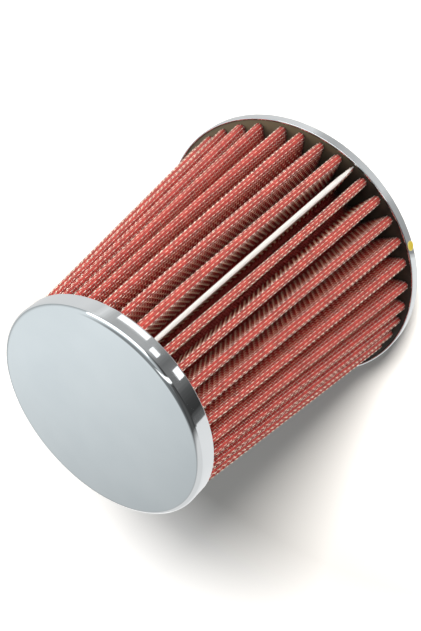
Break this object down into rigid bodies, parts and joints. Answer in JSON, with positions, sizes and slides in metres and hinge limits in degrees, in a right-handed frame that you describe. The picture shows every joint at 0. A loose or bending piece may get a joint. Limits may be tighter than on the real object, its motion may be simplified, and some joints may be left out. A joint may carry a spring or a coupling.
{
  "type": "cone air filter",
  "caption": "Conical engine air filter: red pleated gauze between wire screens, chrome end cap and base ring, rubber base with a clamp-on neck.",
  "frame": {"origin": "centre of the neck's mouth, on the plane that the filter stands on", "axes": "+Z along the filter's axis from the neck to the end cap, -Y towards the seam of the pleated sheet"},
  "size_m": [0.15, 0.15, 0.1833],
  "materials": {
    "chrome": "polished",
    "resin": "satin",
    "screen_wire": "satin",
    "gauze": "matte",
    "clip_metal": "polished",
    "base_rubber": "satin",
    "dot_paper": "matte"
  },
  "bodies": {
    "root": {"end_cap": "chrome", "cap_potting": "resin", "outer_screen": "screen_wire", "gauze_media": "gauze", "inner_screen": "screen_wire", "seam_clip": "clip_metal", "base_ring": "chrome", "base_and_neck": "base_rubber", "inspection_dot": "dot_paper"}
  },
  "joints": []
}
